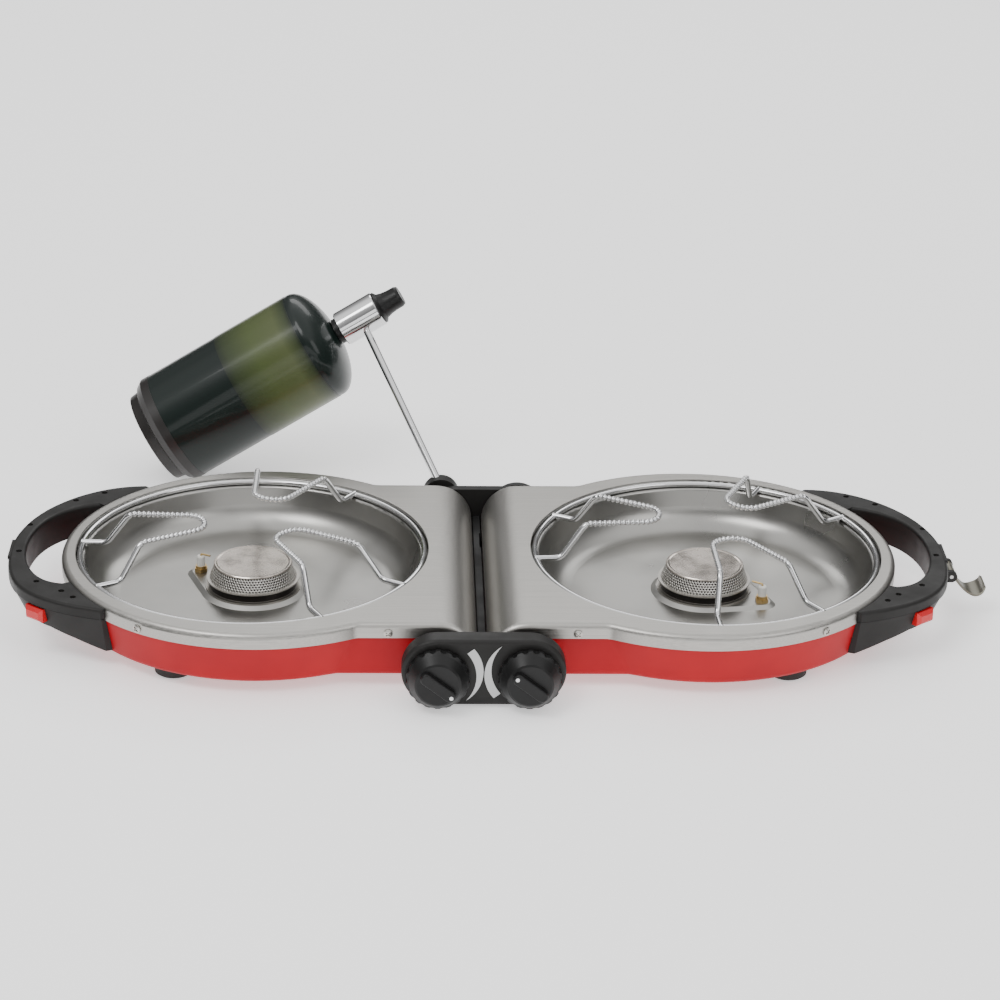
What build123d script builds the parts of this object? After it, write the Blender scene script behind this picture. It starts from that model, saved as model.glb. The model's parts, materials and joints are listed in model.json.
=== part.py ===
from build123d import *
import math
import os

# Two-burner folding camp stove, open and flat on its feet. Millimetres, +Z up.
# x = 0 is the middle of the spine, y = 0 is the line through both burners, z = 0 is the table.
# -Y is the front, where the control panel is. Everything on the right half is drawn at
# positive x, and the left half is its mirror image unless a function says otherwise.

# Halves
TOP_Z = 54.0                 # cooking surface
SHEET = 1.0                  # steel sheet
DISC_X, DISC_Y, DISC_R = 173.5, -2.0, 157.5   # round outer part of a half
FRONT_Y, REAR_Y = -139.0, 127.5               # straight front and rear edges
END_X, END_Z, END_R = 34.0, 24.0, 30.0        # rolled inner end, an arc about a line along Y
CORNER_R = 12.0              # blend between the straight edges and the round part
EDGE_R = 4.5                 # rounded rim of the top plate
SKIRT = 12.0                 # depth of the plate's turned-down edge
PLATE_END_Z = 20.0           # the plate is rolled down to here at the inner end
SHELL_GAP = 1.3              # from the plate's outside to the base shell's outside
SHELL_T = 1.2
SHELL_Z = 9.5                # underside of the base shell
SHELL_TOP = 50.0
SHELL_DRAFT = 8.0            # the round wall leans in by this much at the bottom
SHELL_ROUND = 5.0

# Hinges and knobs share these axes along Y
FOLD_X, FOLD_Z = 34.5, 26.5
TRUNNION_R = 5.0
RUN_GAP = 0.05               # radial running clearance of pins, stems and spigots
BUSH_R = 8.0

# Burner bowl
BOWL_X, BOWL_Y = 180.5, 0.0
HOLE_R = 140.0               # hole in the top plate
FLOOR_Z = 17.0
PAD_R, PAD_TAB_R, PAD_TAB_END = 44.0, 12.5, 51.0
PAD_TOP = 20.0
PAD_SLOPE = 5.5              # the pad's edge leans in by this much
LEFT_TAB, RIGHT_TAB = 148.0, -30.0            # direction of the igniter tab on each bowl
IGNITER_R = 51.0             # igniter's distance from the burner axis
CUP_R, LIP_R = 35.0, 37.0    # burner body and the lip that the flame ring stands on
MESH_LOW_R, MESH_HIGH_R, MESH_T = 34.8, 30.6, 0.8

# Pan support
RING_R, RING_Z, RING_WIRE = 136.5, 51.0, 4.5
ARM_WIRE = 4.8
ARM_Z = 79.0
ARM_BENDS = [9.0, 10.0, 15.0, 15.0, 10.0, 9.0]
LEFT_ARMS, RIGHT_ARMS = 73.0, 48.0            # direction of the first arm on each side

# Handles
HANDLE_TOP, HANDLE_SPLIT = 52.0, 43.5
LEAN_Z = 11.5                # the lower shell's outer wall leans in from the split to here
GROOVE = 0.9                 # height of the shadow line under the upper shell
HANDLE_GAP = 0.3
BUTTON_POS = (342.1, -83.8, 36.2)
BUTTON_ANGLE = -51.7
BUTTON_W, BUTTON_H, BUTTON_OUT, BUTTON_IN = 18.0, 11.0, 6.5, 4.0
BUTTON_GAP = 0.3
STEM_R, STEM_END = 2.0, 11.0                  # the button's stem, and how far it reaches in
PIEZO_R, PIEZO_FRONT, PIEZO_BACK = 4.4, 9.0, 17.0

# Latch on the right handle
LATCH_X, LATCH_Z, LATCH_HALF = 377.6, 36.0, 9.0
LATCH_PIN_R = 1.5

# Spine
PANEL_FRONT, PANEL_BACK = -172.0, -142.0
PANEL_HALF, PANEL_R, PANEL_Z = 62.0, 27.0, 29.0
PANEL_STEP = -157.0          # behind this the housing is lower and narrower
BACK_HALF, BACK_R, BACK_Z = 58.5, 23.5, 25.5
WALL = 2.5
BRACKET_Y0, BRACKET_Y1 = 129.5, 137.5
BRACKET_HALF, BRACKET_R = 57.0, 22.5
BEAM_Z0, BEAM_Z1 = 3.0, 24.0
SWEEP_R = 31.8               # nothing of the spine comes nearer to a fold axis than this
GAS_R = 3.0                  # manifold tube
GAS_X, GAS_Z = -2.5, 9.0     # where the manifold runs inside the beam
KNUCKLE_X, KNUCKLE_Z, KNUCKLE_R = -29.5, 38.0, 15.0
KNUCKLE_Y0, KNUCKLE_Y1 = 138.0, 152.5
SPIGOT_R = 5.0
KNOB_R, KNOB_SCALLOPS, BAR_ANGLE = 24.0, 18, -38.0
STEM_BORE_R = 3.0            # valve spindle, pressed into the knob

# Fuel supply: a pipe rises from the knuckle to the regulator, and the bottle leans on its foot
PIPE_R = 3.175
PIPE_START = Vector(-31.9, 145.0, 49.0)
PIPE_AZ, PIPE_EL = 115.6, 31.1
PIPE_LENGTH = 181.0
BOTTLE_AZ, BOTTLE_EL = 4.5, 30.7
BOTTLE_R, BOTTLE_T = 49.5, 1.9
BOTTLE_LOW, BOTTLE_HIGH = -188.0, -46.0       # ends of the straight wall, from the pipe's joint
BOTTLE_END, BOTTLE_DOME = 12.0, 22.0          # height of the bottom and of the shoulder
FOOT_R, FOOT_INNER_R = 41.0, 36.5             # the rim that the bottle stands on
FOOT_HIGH = -187.0           # upper end of the foot ring
REG_R, REG_LOW, REG_HIGH = 15.5, -19.5, 18.0
LABEL_T0, LABEL_T1 = -119.0, -49.0


def direction(azimuth, elevation):
    """Unit vector from two angles in degrees."""
    az, el = math.radians(azimuth), math.radians(elevation)
    return Vector(math.cos(el) * math.cos(az), math.cos(el) * math.sin(az), math.sin(el))


def rod(radius, start, end):
    """Round bar between two points."""
    start, end = Vector(start), Vector(end)
    line = end - start
    face = Plane(origin=start, z_dir=line) * Circle(radius)
    return extrude(face, line.length)


def along_y(radius, x, z, y0, y1):
    """Round bar along Y."""
    return rod(radius, (x, y0, z), (x, y1, z))


def block(x0, x1, y0, y1, z0, z1):
    """Box between two corners."""
    centre = ((x0 + x1) / 2, (y0 + y1) / 2, (z0 + z1) / 2)
    return Pos(*centre) * Box(x1 - x0, y1 - y0, z1 - z0)


def tube_path(points, radii, radius):
    """Bent round bar: straight runs joined by tangent arcs."""
    path = FilletPolyline(*points, radius=radii)
    start = path @ 0
    face = Plane(origin=start, z_dir=path % 0) * Circle(radius)
    return sweep(face, path=path)


def turned(points):
    """Solid of revolution about Z from (radius, height) points."""
    face = make_face(Polyline(*[(r, 0, z) for r, z in points], close=True))
    return revolve(face, Axis.Z)


def mirrored(shape):
    """The same piece on the left half."""
    return mirror(shape, about=Plane.YZ)


# ---------------------------------------------------------------- halves

def half_outline(inset, disc_r=DISC_R):
    """A half seen from above: a disc joined to a block that runs to the spine."""
    x0, x1 = END_X - END_R + inset, DISC_X
    y0, y1 = FRONT_Y + inset, REAR_Y - inset
    disc = Pos(DISC_X, DISC_Y) * Circle(disc_r - inset)
    inner = Pos((x0 + x1) / 2, (y0 + y1) / 2) * Rectangle(x1 - x0, y1 - y0)
    shape = disc + inner
    corners = [v for v in shape.vertices() if x0 + 10 < v.X < x1 - 1]
    return fillet(corners, CORNER_R + inset)


def round_inner_end(solid, inset):
    """Cut the square inner end back to its rolled shape, which clears the spine when it folds."""
    square = block(-1, END_X, -200, 200, END_Z, TOP_Z + 5)
    roll = along_y(END_R - inset, END_X, END_Z, -200, 200)
    lower_square = block(-1, FOLD_X, -200, 200, 0, FOLD_Z)
    lower_roll = along_y(FOLD_X - END_X + END_R - inset, FOLD_X, FOLD_Z, -200, 200)
    return solid - (square - roll) - (lower_square - lower_roll)


def plate_block(inset, z_low=PLATE_END_Z):
    """The space inside the top plate's outer skin, with its rounded rim."""
    top = TOP_Z - inset
    solid = extrude(Pos(0, 0, z_low) * half_outline(inset), top - z_low)
    solid = round_inner_end(solid, inset)
    y0, y1 = FRONT_Y + inset, REAR_Y - inset
    rim = []
    for edge in solid.edges():
        mid = edge @ 0.5
        on_top = abs(mid.Z - top) < 1e-3 and abs(mid.X - END_X) > 1e-3
        on_end = min(abs(mid.Y - y0), abs(mid.Y - y1)) < 1e-3 and mid.X < END_X and mid.Z > z_low + 0.01
        if on_top or on_end:
            rim.append(edge)
    return fillet(rim, EDGE_R - inset)


def top_plate():
    """Pressed sheet with a hole for the bowl and a turned-down skirt."""
    sheet = plate_block(0) - plate_block(SHEET)
    sheet -= Pos(BOWL_X, BOWL_Y, TOP_Z) * Cylinder(HOLE_R, 10)
    below = block(END_X, 400, -200, 200, 0, TOP_Z - SKIRT)
    below += along_y(END_R - SKIRT, END_X, END_Z, -200, 200)
    below += block(END_X - END_R + 4, END_X, -200, 200, 0, END_Z)
    return sheet - below


def shell_block(inset, z_low, z_high):
    """The space inside the base shell's skin: straight above the skirt line, leaning in below."""
    outline_low = Pos(0, 0, z_low) * half_outline(inset, DISC_R - SHELL_DRAFT)
    outline_mid = Pos(0, 0, TOP_Z - SKIRT) * half_outline(inset)
    lower = loft([outline_low.face(), outline_mid.face()], ruled=True)
    upper = extrude(outline_mid, z_high - (TOP_Z - SKIRT))
    return round_inner_end(lower + upper, inset)


def base_shell():
    """Painted pan that carries the burner, the handle and the feet."""
    outer = shell_block(SHELL_GAP, SHELL_Z, SHELL_TOP)
    bottom = [e for e in outer.edges() if abs((e @ 0.5).Z - SHELL_Z) < 1e-3]
    outer = fillet(bottom, SHELL_ROUND) & plate_block(SHELL_GAP, SHELL_Z - 1)
    inner = shell_block(SHELL_GAP + SHELL_T, SHELL_Z + SHELL_T, SHELL_TOP + 5)
    bottom = [e for e in inner.edges() if abs((e @ 0.5).Z - SHELL_Z - SHELL_T) < 1e-3]
    inner = fillet(bottom, SHELL_ROUND - SHELL_T) & plate_block(SHELL_GAP + SHELL_T, SHELL_Z)
    shell = outer - inner
    shell -= along_y(BUSH_R, FOLD_X, FOLD_Z, -150, 150)
    for k in range(8):
        slot = Pos(75, 0, SHELL_Z) * extrude(SlotOverall(46, 7), 5, both=True)
        shell -= Pos(BOWL_X, BOWL_Y, 0) * Rot(0, 0, 22.5 + 45 * k) * slot
    return shell


def burner_bowl(tab_angle):
    """Dished pan under the hole, with a ledge for the ring and a raised pad for the burner."""
    path = FilletPolyline(
        (145.0, 52.45), (140.3, 52.45), (139.8, 48.2), (133.2, 48.2), (124.0, FLOOR_Z), (14.0, FLOOR_Z),
        radius=[1.2, 1.0, 2.0, 24.0],
    )
    face = trace(path, SHEET)
    bowl = revolve(Plane.XZ * face, Axis.Z)
    low = FLOOR_Z - SHEET / 2
    sections = []
    for z, inset in ((low, 0.0), (PAD_TOP, PAD_SLOPE)):
        tab = Pos(PAD_TAB_END, 0) * Circle(PAD_TAB_R - inset)
        sections.append(Pos(0, 0, z) * make_hull((Circle(PAD_R - inset) + tab).edges()))
    pad = Rot(0, 0, tab_angle) * loft([section.face() for section in sections], ruled=True)
    under = Pos(0, 0, -SHEET) * pad
    bowl = bowl + pad - under
    bowl -= Pos(0, 0, FLOOR_Z) * Cylinder(13, 20)
    return Pos(BOWL_X, BOWL_Y) * bowl


def burner_cup():
    """Burner body: foot flange, cup, lip and the mixing tube below it."""
    z = PAD_TOP
    profile = [
        (9.0, z - 4), (11.0, z - 4), (11.0, z), (38.0, z), (38.0, z + 1.4), (CUP_R, z + 1.4),
        (CUP_R, z + 7.6), (LIP_R, z + 7.6), (LIP_R, z + 8.6), (31.5, z + 8.6),
        (31.5, z + 2.5), (9.0, z + 2.5),
    ]
    return Pos(BOWL_X, BOWL_Y) * turned(profile)


def burner_mesh():
    """Perforated flame ring, a thin cone between the lip and the cap."""
    z0, z1 = PAD_TOP + 8.6, PAD_TOP + 19.6
    low, high = MESH_LOW_R, MESH_HIGH_R
    return Pos(BOWL_X, BOWL_Y) * turned([(low - MESH_T, z0), (low, z0), (high, z1), (high - MESH_T, z1)])


def burner_cap():
    """Pressed cap that closes the flame ring."""
    z = PAD_TOP + 19.6
    profile = [
        (0, z), (31.2, z), (31.2, z + 0.8), (30.6, z + 1.4), (29.4, z + 1.4), (28.2, z + 1.0), (0, z + 0.9),
    ]
    return Pos(BOWL_X, BOWL_Y) * turned(profile)


def at_igniter(shape, tab_angle):
    """Put a piece drawn on the Z axis at the igniter's place."""
    return Pos(BOWL_X, BOWL_Y) * Rot(0, 0, tab_angle) * Pos(IGNITER_R, 0) * shape


def igniter_ceramic(tab_angle):
    """Ceramic sleeve round the spark electrode."""
    z = PAD_TOP
    profile = [(0.8, z + 5), (3.4, z + 5), (3.4, z + 12.5), (2.8, z + 13.5), (0.8, z + 13.5)]
    return at_igniter(turned(profile), tab_angle)


def igniter_metal(tab_angle):
    """Brass clamp nut on the pad and the electrode wire, which leans over to the burner."""
    z = PAD_TOP
    nut = extrude(Pos(0, 0, z) * RegularPolygon(5.6, 6), 3.0)
    nut += Pos(0, 0, z + 4) * Cylinder(4.4, 2)
    wire = tube_path([(0, 0, z + 5), (0, 0, z + 15), (-9, 0, z + 15.3)], [1.3], 0.8)
    return at_igniter(nut, tab_angle), at_igniter(wire, tab_angle)


def gas_tube():
    """Tube from the hinge trunnion to the burner, with a socket that turns on the trunnion."""
    socket = along_y(6.6, FOLD_X, FOLD_Z, -130.5, -112)
    socket -= along_y(TRUNNION_R + RUN_GAP, FOLD_X, FOLD_Z, -131, -119)
    route = [
        (FOLD_X, -113, FOLD_Z), (FOLD_X, -98, FOLD_Z), (62, -84, 13.6),
        (BOWL_X, BOWL_Y, 13.6), (BOWL_X, BOWL_Y, PAD_TOP + 1),
    ]
    return socket + tube_path(route, [10.0, 10.0, 3.0], 2.4)


def hinge_bushes():
    """Plain bushes in the front and rear walls of a half."""
    bushes = []
    for outside, inside, sign in ((FRONT_Y, FRONT_Y + 8, 1), (REAR_Y, REAR_Y - 8, -1)):
        wall = outside + sign * (SHELL_GAP + SHELL_T)
        body = along_y(BUSH_R, FOLD_X, FOLD_Z, outside, inside)
        body += along_y(BUSH_R + 2.5, FOLD_X, FOLD_Z, wall, wall + 1.8 * sign)
        body -= along_y(TRUNNION_R + RUN_GAP, FOLD_X, FOLD_Z, outside - sign, inside + sign)
        bushes.append(body)
    return bushes


def pan_support(arm_angle):
    """Chrome wire ring with three bent arms that hold the pan."""
    ring = Pos(0, 0, RING_Z) * Torus(RING_R, RING_WIRE / 2)
    half = [
        (RING_R - 5.5, 43.0, RING_Z + 0.6), (111.0, 37.5, RING_Z + 0.6),
        (93.0, 28.5, ARM_Z), (38.5, 12.5, ARM_Z),
    ]
    arm = tube_path(half + [(x, -y, z) for x, y, z in reversed(half)], ARM_BENDS, ARM_WIRE / 2)
    support = ring
    for k in range(3):
        support += Rot(0, 0, arm_angle + 120 * k) * arm
    return Pos(BOWL_X, BOWL_Y) * support


# ---------------------------------------------------------------- handles

OUTER_LINE = [
    (277, 126), (310, 117), (336, 97), (358, 65), (370.5, 24), (371.5, -24), (360.5, -66),
    (348, -83), (328, -98), (291, -112.5),
]
OUTER_LEAN = [8, 9, 10, 12, 14, 14.5, 13, 10, 8, 7]   # how far each point has moved in at LEAN_Z
OPENING_LINE = [
    (309, 87), (333, 75), (350, 53), (359, 20), (358.5, -14), (351, -40), (338, -58), (321, -64),
]


def moved_in(points, distances):
    """The points of a line, each shifted to the line's right by its own distance."""
    moved = []
    for k, ((x, y), distance) in enumerate(zip(points, distances)):
        x0, y0 = points[max(k - 1, 0)]
        x1, y1 = points[min(k + 1, len(points) - 1)]
        length = math.hypot(x1 - x0, y1 - y0)
        moved.append((x + distance * (y1 - y0) / length, y - distance * (x1 - x0) / length))
    return moved


def outer_face(inset, lean=0.0):
    """The space within a handle's outer edge, with a share of the full lean."""
    outer = moved_in(OUTER_LINE, [inset + lean * full for full in OUTER_LEAN])
    back = Polyline(outer[-1], (240, -80), (240, 90), outer[0])
    return make_face(Spline(*outer) + back)


def finger_face(inset):
    """The finger opening seen from above, made smaller by the inset."""
    hole = moved_in(OPENING_LINE, [-inset] * len(OPENING_LINE))
    back = Polyline(hole[-1], (290, -50), (290, 70), hole[0])
    return make_face(Spline(*hole) + back)


def leaning_block(inset, z_high):
    """The space inside the lower shell's walls; only the outer one leans."""
    sections = []
    for z in (LEAN_Z, z_high):
        lean = (HANDLE_SPLIT - z) / (HANDLE_SPLIT - LEAN_Z)
        sections.append((Pos(0, 0, z) * outer_face(inset, lean)).face())
    return loft(sections, ruled=True) - extrude(finger_face(inset), HANDLE_TOP)


def wall_space(gap):
    """What a handle must leave free for its half: the skirt above and the leaning wall below."""
    z_mid = TOP_Z - SKIRT - 0.3
    low_r = DISC_R - SHELL_GAP - SHELL_DRAFT + gap
    high_r = DISC_R - SHELL_GAP + gap
    cone = turned([(0, SHELL_Z), (low_r, SHELL_Z), (high_r, z_mid), (0, z_mid)])
    top = turned([(0, z_mid), (DISC_R + gap, z_mid), (DISC_R + gap, 60), (0, 60)])
    below = turned([(0, 0), (low_r, 0), (low_r, SHELL_Z), (0, SHELL_Z)])
    return Pos(DISC_X, DISC_Y) * (cone + top + below)


SCREW_POINTS = [(362, 45), (365, -6), (345, -62), (324, -79), (314, -90), (308, 110), (330, 94)]


def handle_upper():
    """Upper shell of the handle, with its screw wells."""
    plan = outer_face(0) - finger_face(0)
    shell = extrude(Pos(0, 0, HANDLE_SPLIT) * plan, HANDLE_TOP - HANDLE_SPLIT)
    top = []
    for edge in shell.edges():
        mid = edge @ 0.5
        if abs(mid.Z - HANDLE_TOP) < 1e-3 and mid.X > 276 and edge.geom_type != GeomType.LINE:
            top.append(edge)
    shell = fillet(top, 2.5)
    shell += block(364, 372.9, -16, 16, HANDLE_TOP - 2.8, HANDLE_TOP - 0.2)
    for x, y in SCREW_POINTS:
        shell -= Pos(x, y, HANDLE_TOP) * Cylinder(2.4, 5)
    return shell - wall_space(HANDLE_GAP)


def handle_floor():
    """Space below the handle: its underside drops from the outer bar towards the body."""
    side = [(230, 0), (400, 0), (400, 26), (332, 26), (312, 21), (289, 13.5), (270, 12), (230, 12)]
    face = make_face(Polyline(*[(x, -200, z) for x, z in side], close=True))
    return extrude(face, 400, dir=(0, 1, 0))


def at_button(shape):
    """Put a piece drawn along +X (outwards) at the igniter button's place."""
    return Pos(*BUTTON_POS) * Rot(0, 0, BUTTON_ANGLE) * shape


def button_body(grow, reach_in, reach_out):
    """The button's block between two distances along its travel."""
    return at_button(block(-reach_in, reach_out, -BUTTON_W / 2 - grow, BUTTON_W / 2 + grow,
                           -BUTTON_H / 2 - grow, BUTTON_H / 2 + grow))


def handle_lower(with_latch):
    """Lower shell of the handle: a hollow bin that also holds the piezo igniter."""
    bin_ = leaning_block(1.0, HANDLE_SPLIT) - handle_floor()
    hollow = leaning_block(3.5, HANDLE_SPLIT + 1) - Pos(0, 0, 2.5) * handle_floor()
    hollow -= extrude(Pos(DISC_X, DISC_Y) * Circle(DISC_R + 2.8), 60)
    bin_ = bin_ - hollow - wall_space(HANDLE_GAP)
    bin_ -= Pos(0, 0, HANDLE_SPLIT - GROOVE) * extrude(outer_face(0) - outer_face(2.2), GROOVE)
    bin_ -= button_body(BUTTON_GAP, BUTTON_IN + 2, 20)
    cradle = block(-PIEZO_BACK + 2, -PIEZO_FRONT - 2, -6.4, 6.4, -9.0, -0.5)
    bin_ += at_button(cradle - rod(PIEZO_R, Vector(-PIEZO_BACK, 0, 0), Vector(-PIEZO_FRONT, 0, 0)))
    if with_latch:
        for sign in (-1, 1):
            y0, y1 = sorted((sign * (LATCH_HALF + 0.4), sign * (LATCH_HALF + 4.4)))
            ear = along_y(4.6, LATCH_X, LATCH_Z, y0, y1)
            ear += block(364.5, LATCH_X, y0, y1, LATCH_Z - 4.6, LATCH_Z + 4.6)
            bin_ += ear - along_y(LATCH_PIN_R, LATCH_X, LATCH_Z, -20, 20)
    return bin_


def igniter_button():
    """Push button with a bevelled face."""
    body = button_body(0, BUTTON_IN, BUTTON_OUT)
    outward = Axis((0, 0, 0), Vector(1, 0, 0).rotate(Axis.Z, BUTTON_ANGLE))
    face_edges = body.faces().sort_by(outward)[-1].edges()
    body = chamfer(face_edges, 2.6)
    stem = rod(STEM_R, Vector(-STEM_END, 0, 0), Vector(-BUTTON_IN, 0, 0))
    return body + at_button(stem)


def piezo_unit():
    """Spark generator behind the button, with a hole for the button's stem."""
    case = rod(PIEZO_R, Vector(-PIEZO_BACK, 0, 0), Vector(-PIEZO_FRONT, 0, 0))
    case -= rod(STEM_R + RUN_GAP, Vector(-PIEZO_BACK + 1.5, 0, 0), Vector(-PIEZO_FRONT + 1, 0, 0))
    return at_button(case)


def latch_lever():
    """Spoon-shaped latch that hooks over the other handle when the stove is folded shut."""
    x, z = LATCH_X, LATCH_Z
    blade_line = Spline(
        (x + 2.5, z - 2.5), (x + 10, z - 12), (x + 17, z - 16.5), (x + 24, z - 15.5), (x + 28, z - 10),
    )
    blade = extrude(Plane.XZ * trace(blade_line, 1.8), 20, both=True)
    edge = [(x, 5.0), (x + 8, 4.6), (x + 14, 7.5), (x + 20, 12.0), (x + 25, 12.6), (x + 30, 8.5)]
    other = [(px, -py) for px, py in reversed(edge)]
    plan = make_face(Spline(*edge) + Line(edge[-1], other[0]) + Spline(*other) + Line(other[-1], edge[0]))
    lever = blade & extrude(plan, 60)
    lever += along_y(4.0, x, z, -LATCH_HALF, LATCH_HALF)
    return lever - along_y(LATCH_PIN_R + RUN_GAP, x, z, -20, 20)


def latch_pin():
    """Hinge pin of the latch, held in the handle's two ears."""
    return along_y(LATCH_PIN_R, LATCH_X, LATCH_Z, -LATCH_HALF - 4.4, LATCH_HALF + 4.4)


def feet():
    """Rubber feet under one half."""
    pads = []
    for y in (-112, 110):
        pads.append(Pos(236, y) * turned([(0, 0), (13, 0), (15, 1.5), (15.5, SHELL_Z), (0, SHELL_Z)]))
    return pads


def half_screws():
    """Screws through the skirt into the base shell, and the handle's screws in their wells."""
    screws = []
    z = TOP_Z - SKIRT / 2 - 2
    for y, sign in ((FRONT_Y, -1), (REAR_Y, 1)):
        screws.append(along_y(3.4, 72.0, z, y, y + 1.6 * sign))
    for angle in (-56, 56):
        side = direction(angle, 0)
        centre = Vector(DISC_X, DISC_Y, z)
        screws.append(rod(3.4, centre + side * (DISC_R + 0.04), centre + side * (DISC_R + 1.6)))
    for x, y in SCREW_POINTS:
        screws.append(Pos(x, y, HANDLE_TOP - 2.1) * Cylinder(2.2, 0.8))
    return screws


# ---------------------------------------------------------------- spine

def stadium(half_width, radius, z, y0, y1):
    """Rounded bar shape in the XZ plane, given thickness along Y."""
    ends = along_y(radius, half_width - radius, z, y0, y1) + along_y(radius, radius - half_width, z, y0, y1)
    return ends + block(radius - half_width, half_width - radius, y0, y1, z - radius, z + radius)


def control_panel():
    """Front housing of the spine, open at the back."""
    outer = stadium(PANEL_HALF, PANEL_R, PANEL_Z, PANEL_FRONT, PANEL_STEP)
    front = [e for e in outer.edges() if abs((e @ 0.5).Y - PANEL_FRONT) < 1e-3]
    outer = fillet(front, 3.0)
    outer += stadium(BACK_HALF, BACK_R, BACK_Z, PANEL_STEP, PANEL_BACK)
    inner = stadium(PANEL_HALF - WALL, PANEL_R - WALL, PANEL_Z, PANEL_FRONT + WALL, PANEL_STEP - WALL)
    inner += stadium(BACK_HALF - WALL, BACK_R - WALL, BACK_Z, PANEL_FRONT + WALL, PANEL_BACK + 1)
    panel = outer - inner
    for side in (-1, 1):
        panel -= along_y(3.6, side * FOLD_X, FOLD_Z, -180, -160)
    return panel


def panel_cover():
    """Plate that closes the back of the control panel."""
    cover = stadium(BACK_HALF - WALL, BACK_R - WALL, BACK_Z, PANEL_BACK - WALL, PANEL_BACK)
    for side in (-1, 1):
        cover -= along_y(TRUNNION_R, side * FOLD_X, FOLD_Z, -150, -130)
    return cover - along_y(GAS_R, GAS_X, GAS_Z, -150, -130)


def crescent(side):
    """Flame mark between the knobs: a curved wedge, the right one turned half round."""
    tip, bulge, wide_outer = (-13.3, -22.8), (-0.4, 2.2), (-7.6, 20.5)
    wide_inner, hollow = (-12.6, 16.6), (-6.0, 2.6)
    edges = [
        ThreePointArc(tip, bulge, wide_outer),
        Line(wide_outer, wide_inner),
        ThreePointArc(wide_inner, hollow, tip),
    ]
    front = Plane(origin=(0, PANEL_FRONT, PANEL_Z), x_dir=(1, 0, 0), z_dir=(0, -1, 0))
    mark = make_face(edges)
    if side > 0:
        mark = Rot(0, 0, 180) * mark
    return extrude(front * mark, 0.3)


def valve(side):
    """Brass valve body; its hollow tail is also the front hinge pin of one half."""
    x = side * FOLD_X
    body = along_y(9.0, x, FOLD_Z, -166, -147) + along_y(TRUNNION_R, x, FOLD_Z, -147, -121)
    body -= along_y(STEM_BORE_R + RUN_GAP, x, FOLD_Z, -167, -155)
    return body - along_y(1.8, x, FOLD_Z, -152, -120)


def manifold_route():
    """Centre line of the tube from the inlet spigot to the valves."""
    points = [
        (KNUCKLE_X, KNUCKLE_Y1 - 2, KNUCKLE_Z), (KNUCKLE_X, 133.5, KNUCKLE_Z), (GAS_X, 133.5, GAS_Z),
        (GAS_X, -156, GAS_Z), (GAS_X, -156, FOLD_Z),
    ]
    return points, [6.0, 6.0, 6.0]


def gas_manifold():
    """Brass tube from the inlet to both valves, with the spigot that the knuckle turns on."""
    points, radii = manifold_route()
    tube = tube_path(points, radii, GAS_R)
    tube += rod(5.0, (-FOLD_X + 9.1, -156, FOLD_Z), (FOLD_X - 9.1, -156, FOLD_Z))
    return tube + along_y(SPIGOT_R, KNUCKLE_X, KNUCKLE_Z, BRACKET_Y1, KNUCKLE_Y1 - 1)


def spine_beam():
    """Dark bar that joins the panel to the rear bracket under the gap between the halves."""
    def half_width(z):
        return FOLD_X - math.sqrt(SWEEP_R ** 2 - (FOLD_Z - z) ** 2)

    right = [(half_width(BEAM_Z0), BEAM_Z0), (half_width(12.0), 12.0), (half_width(BEAM_Z1), BEAM_Z1)]
    side = ThreePointArc(*[(x, z) for x, z in right])
    other = ThreePointArc(*[(-x, z) for x, z in right])
    top = Line((-right[2][0], right[2][1]), (right[2][0], right[2][1]))
    bottom = Line((-right[0][0], right[0][1]), (right[0][0], right[0][1]))
    section = make_face([side, top, other, bottom])
    beam = extrude(Plane.XZ * section, BRACKET_Y0 - PANEL_BACK, both=True)
    beam = beam & block(-50, 50, PANEL_BACK, BRACKET_Y0, 0, 60)
    beam -= along_y(GAS_R, GAS_X, GAS_Z, -150, 140)
    return beam - block(1.8, 4.2, 66, 94, 0, 40)


def rear_bracket():
    """Rear housing of the spine, which holds the rear hinge pins and the gas inlet."""
    bracket = stadium(BRACKET_HALF, BRACKET_R, FOLD_Z - 1, BRACKET_Y0, BRACKET_Y1)
    cap = along_y(BRACKET_R, FOLD_X, FOLD_Z, BRACKET_Y1, BRACKET_Y1 + 9)
    edge = [e for e in cap.edges() if abs((e @ 0.5).Y - BRACKET_Y1 - 9) < 1e-3]
    bracket += fillet(edge, 4.0)
    for side in (-1, 1):
        bracket -= along_y(TRUNNION_R, side * FOLD_X, FOLD_Z, 120, BRACKET_Y1)
    points, radii = manifold_route()
    return bracket - tube_path(points, radii, GAS_R)


def hinge_pins():
    """Rear hinge pins, pressed into the bracket."""
    return [along_y(TRUNNION_R, side * FOLD_X, FOLD_Z, 120.5, BRACKET_Y1) for side in (-1, 1)]


def spine_feet():
    """Pads under the beam."""
    return [block(-9, 9, y - 14, y + 14, 0, BEAM_Z0) for y in (-118, 0, 112)]


def knob(side):
    """Scalloped knob with a bar to turn it by."""
    y = PANEL_FRONT - 1.0
    profile = [
        (0, 0), (KNOB_R - 1.5, 0), (KNOB_R, 1.5), (KNOB_R, 5.5),
        (22.0, 7.5), (17.5, 14.0), (16.0, 15.0), (0, 15.0),
    ]
    body = turned(profile)
    for k in range(KNOB_SCALLOPS):
        body -= Rot(0, 0, 360 * k / KNOB_SCALLOPS) * Pos(KNOB_R + 2.2, 0, 0) * Cylinder(3.4, 30)
    bar = Pos(0, 0, 15) * extrude(SlotOverall(31.0, 9.0), 5.0)
    top = [e for e in bar.edges() if abs((e @ 0.5).Z - 20) < 1e-3]
    body += Rot(0, 0, BAR_ANGLE) * fillet(top, 1.2)
    body -= Cylinder(STEM_BORE_R, 20)
    plane = Plane(origin=(side * FOLD_X, y, FOLD_Z), x_dir=(1, 0, 0), z_dir=(0, -1, 0))
    return plane * body


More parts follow.
